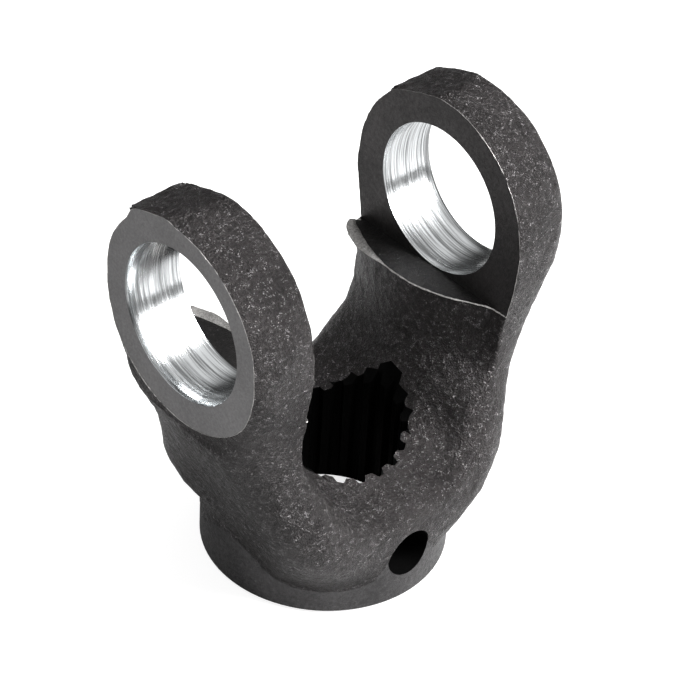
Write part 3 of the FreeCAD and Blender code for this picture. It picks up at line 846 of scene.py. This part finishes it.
def lamp(scene, name, place, target, width, power):
    """Square soft lamp."""
    data = bpy.data.lights.new(name, "AREA")
    data.size = width
    data.energy = power
    made = bpy.data.objects.new(name, data)
    made.location = place
    scene.collection.objects.link(made)
    aim(made, target)


def place_camera(scene, studio, target):
    """Camera on its sphere round the target, with its roll."""
    turn, rise = studio.azimuth, studio.elevation
    back = Vector((math.sin(turn) * math.cos(rise), -math.cos(turn) * math.cos(rise),
                   math.sin(rise)))
    level = Vector((0, 0, 1)).cross(back).normalized()
    upward = back.cross(level)
    right = level * math.cos(studio.roll) + upward * math.sin(studio.roll)
    up = upward * math.cos(studio.roll) - level * math.sin(studio.roll)
    data = bpy.data.cameras.new("Camera")
    data.lens = studio.lens
    data.clip_start = 0.01
    camera = bpy.data.objects.new("Camera", data)
    pose = Matrix((right, up, back)).transposed().to_4x4()
    pose.translation = target + back * studio.distance
    camera.matrix_world = pose
    scene.collection.objects.link(camera)
    scene.camera = camera


def seen_as(tree, light):
    """1 where a camera or transmission ray arrives, else 0."""
    return math_node(tree, "MAXIMUM", (light, "Is Camera Ray"), (light, "Is Transmission Ray"))


def pale_floor(scene, own_light):
    """Wide pale floor that keeps the yoke's soft shadow."""
    half = 0.42
    mesh = bpy.data.meshes.new("floor")
    corners = [(-half, -half, 0), (half, -half, 0), (half, half, 0), (-half, half, 0)]
    mesh.from_pydata(corners, [], [(0, 1, 2, 3)])
    floor = bpy.data.objects.new("floor", mesh)
    scene.collection.objects.link(floor)
    material, tree, shader, _place = start_material("Pale floor", Roughness=0.9)
    shader.inputs["Base Color"].default_value = (0.42, 0.42, 0.42, 1)
    shader.inputs["Specular IOR Level"].default_value = 0.0
    shader.inputs["Emission Color"].default_value = (1, 1, 1, 1)
    light = tree.nodes.new("ShaderNodeLightPath")
    glow = math_node(tree, "MULTIPLY", (seen_as(tree, light), 0), own_light)
    join(tree, glow, 0, shader, "Emission Strength")
    mesh.materials.append(material)


def room_light(scene, strength, at_horizon):
    """Light from above that falls off to a dark horizon; white where the camera sees it."""
    world = bpy.data.worlds.new("Room")
    world.use_nodes = True
    tree = world.node_tree
    place = tree.nodes.new("ShaderNodeTexCoord")
    split = tree.nodes.new("ShaderNodeSeparateXYZ")
    join(tree, place, "Generated", split, "Vector")
    level = spread(tree, (split, "Z"), 0.30, 0.66, strength * at_horizon, strength)
    light = tree.nodes.new("ShaderNodeLightPath")
    seen = math_node(tree, "MAXIMUM", (light, "Is Camera Ray"), (level, "Result"))
    join(tree, seen, 0, tree.nodes["Background"], "Strength")
    tree.nodes["Background"].inputs["Color"].default_value = (1, 1, 1, 1)
    scene.world = world


# Name, place in metres, width in metres and the setting with the power of each lamp.
LAMPS = (("Key", (0.18, -0.38, 0.72), 0.40, "key_power"),
         ("Left", (-0.75, 0.05, 0.35), 0.35, "fill_power"),
         ("Right", (0.45, -0.65, 0.45), 0.30, "side_power"))
LAMPS_AIM = Vector((0, 0, 50)) * MM
CAMERA_AIM = Vector((5.11, 0, 49.12)) * MM


class YOKE_OT_studio(bpy.types.Operator):
    """Build the floor, the lamps, the room light and the camera"""
    bl_idname = "yoke.studio"
    bl_label = "Studio"

    def execute(self, context):
        scene = context.scene
        studio = scene.yoke_studio
        scene.view_settings.view_transform = "Standard"
        place_camera(scene, studio, CAMERA_AIM)
        pale_floor(scene, studio.floor_glow)
        room_light(scene, studio.sky, studio.horizon)
        for name, place, width, power in LAMPS:
            lamp(scene, name, Vector(place), LAMPS_AIM, width, getattr(studio, power))
        return {"FINISHED"}


class YOKE_PT_sidebar(bpy.types.Panel):
    """Sizes, colours and build buttons of the yoke"""
    bl_idname = "YOKE_PT_sidebar"
    bl_label = "Forged yoke"
    bl_space_type = "VIEW_3D"
    bl_region_type = "UI"
    bl_category = "Yoke"

    def draw(self, context):
        layout = self.layout
        for operator, name in (("yoke.forging", "yoke_skin"), ("yoke.studio", "yoke_studio")):
            layout.operator(operator)
            group = getattr(context.scene, name)
            for prop in group.__annotations__:
                layout.prop(group, prop)
        for prop in context.scene.yoke_finish.__annotations__:
            layout.prop(context.scene.yoke_finish, prop)


CLASSES = (YokeSkin, YokeFinish, YokeStudio, YOKE_OT_forging, YOKE_OT_studio, YOKE_PT_sidebar)
GROUPS = {"yoke_skin": YokeSkin, "yoke_finish": YokeFinish, "yoke_studio": YokeStudio}


def register():
    for cls in CLASSES:
        bpy.utils.register_class(cls)
    for name, group in GROUPS.items():
        setattr(bpy.types.Scene, name, PointerProperty(type=group))


def unregister():
    for name in GROUPS:
        delattr(bpy.types.Scene, name)
    for cls in reversed(CLASSES):
        bpy.utils.unregister_class(cls)


def main():
    """Build everything."""
    register()
    bpy.ops.yoke.forging()
    bpy.ops.yoke.studio()
    bpy.context.view_layer.update()


if __name__ == "__main__":
    main()
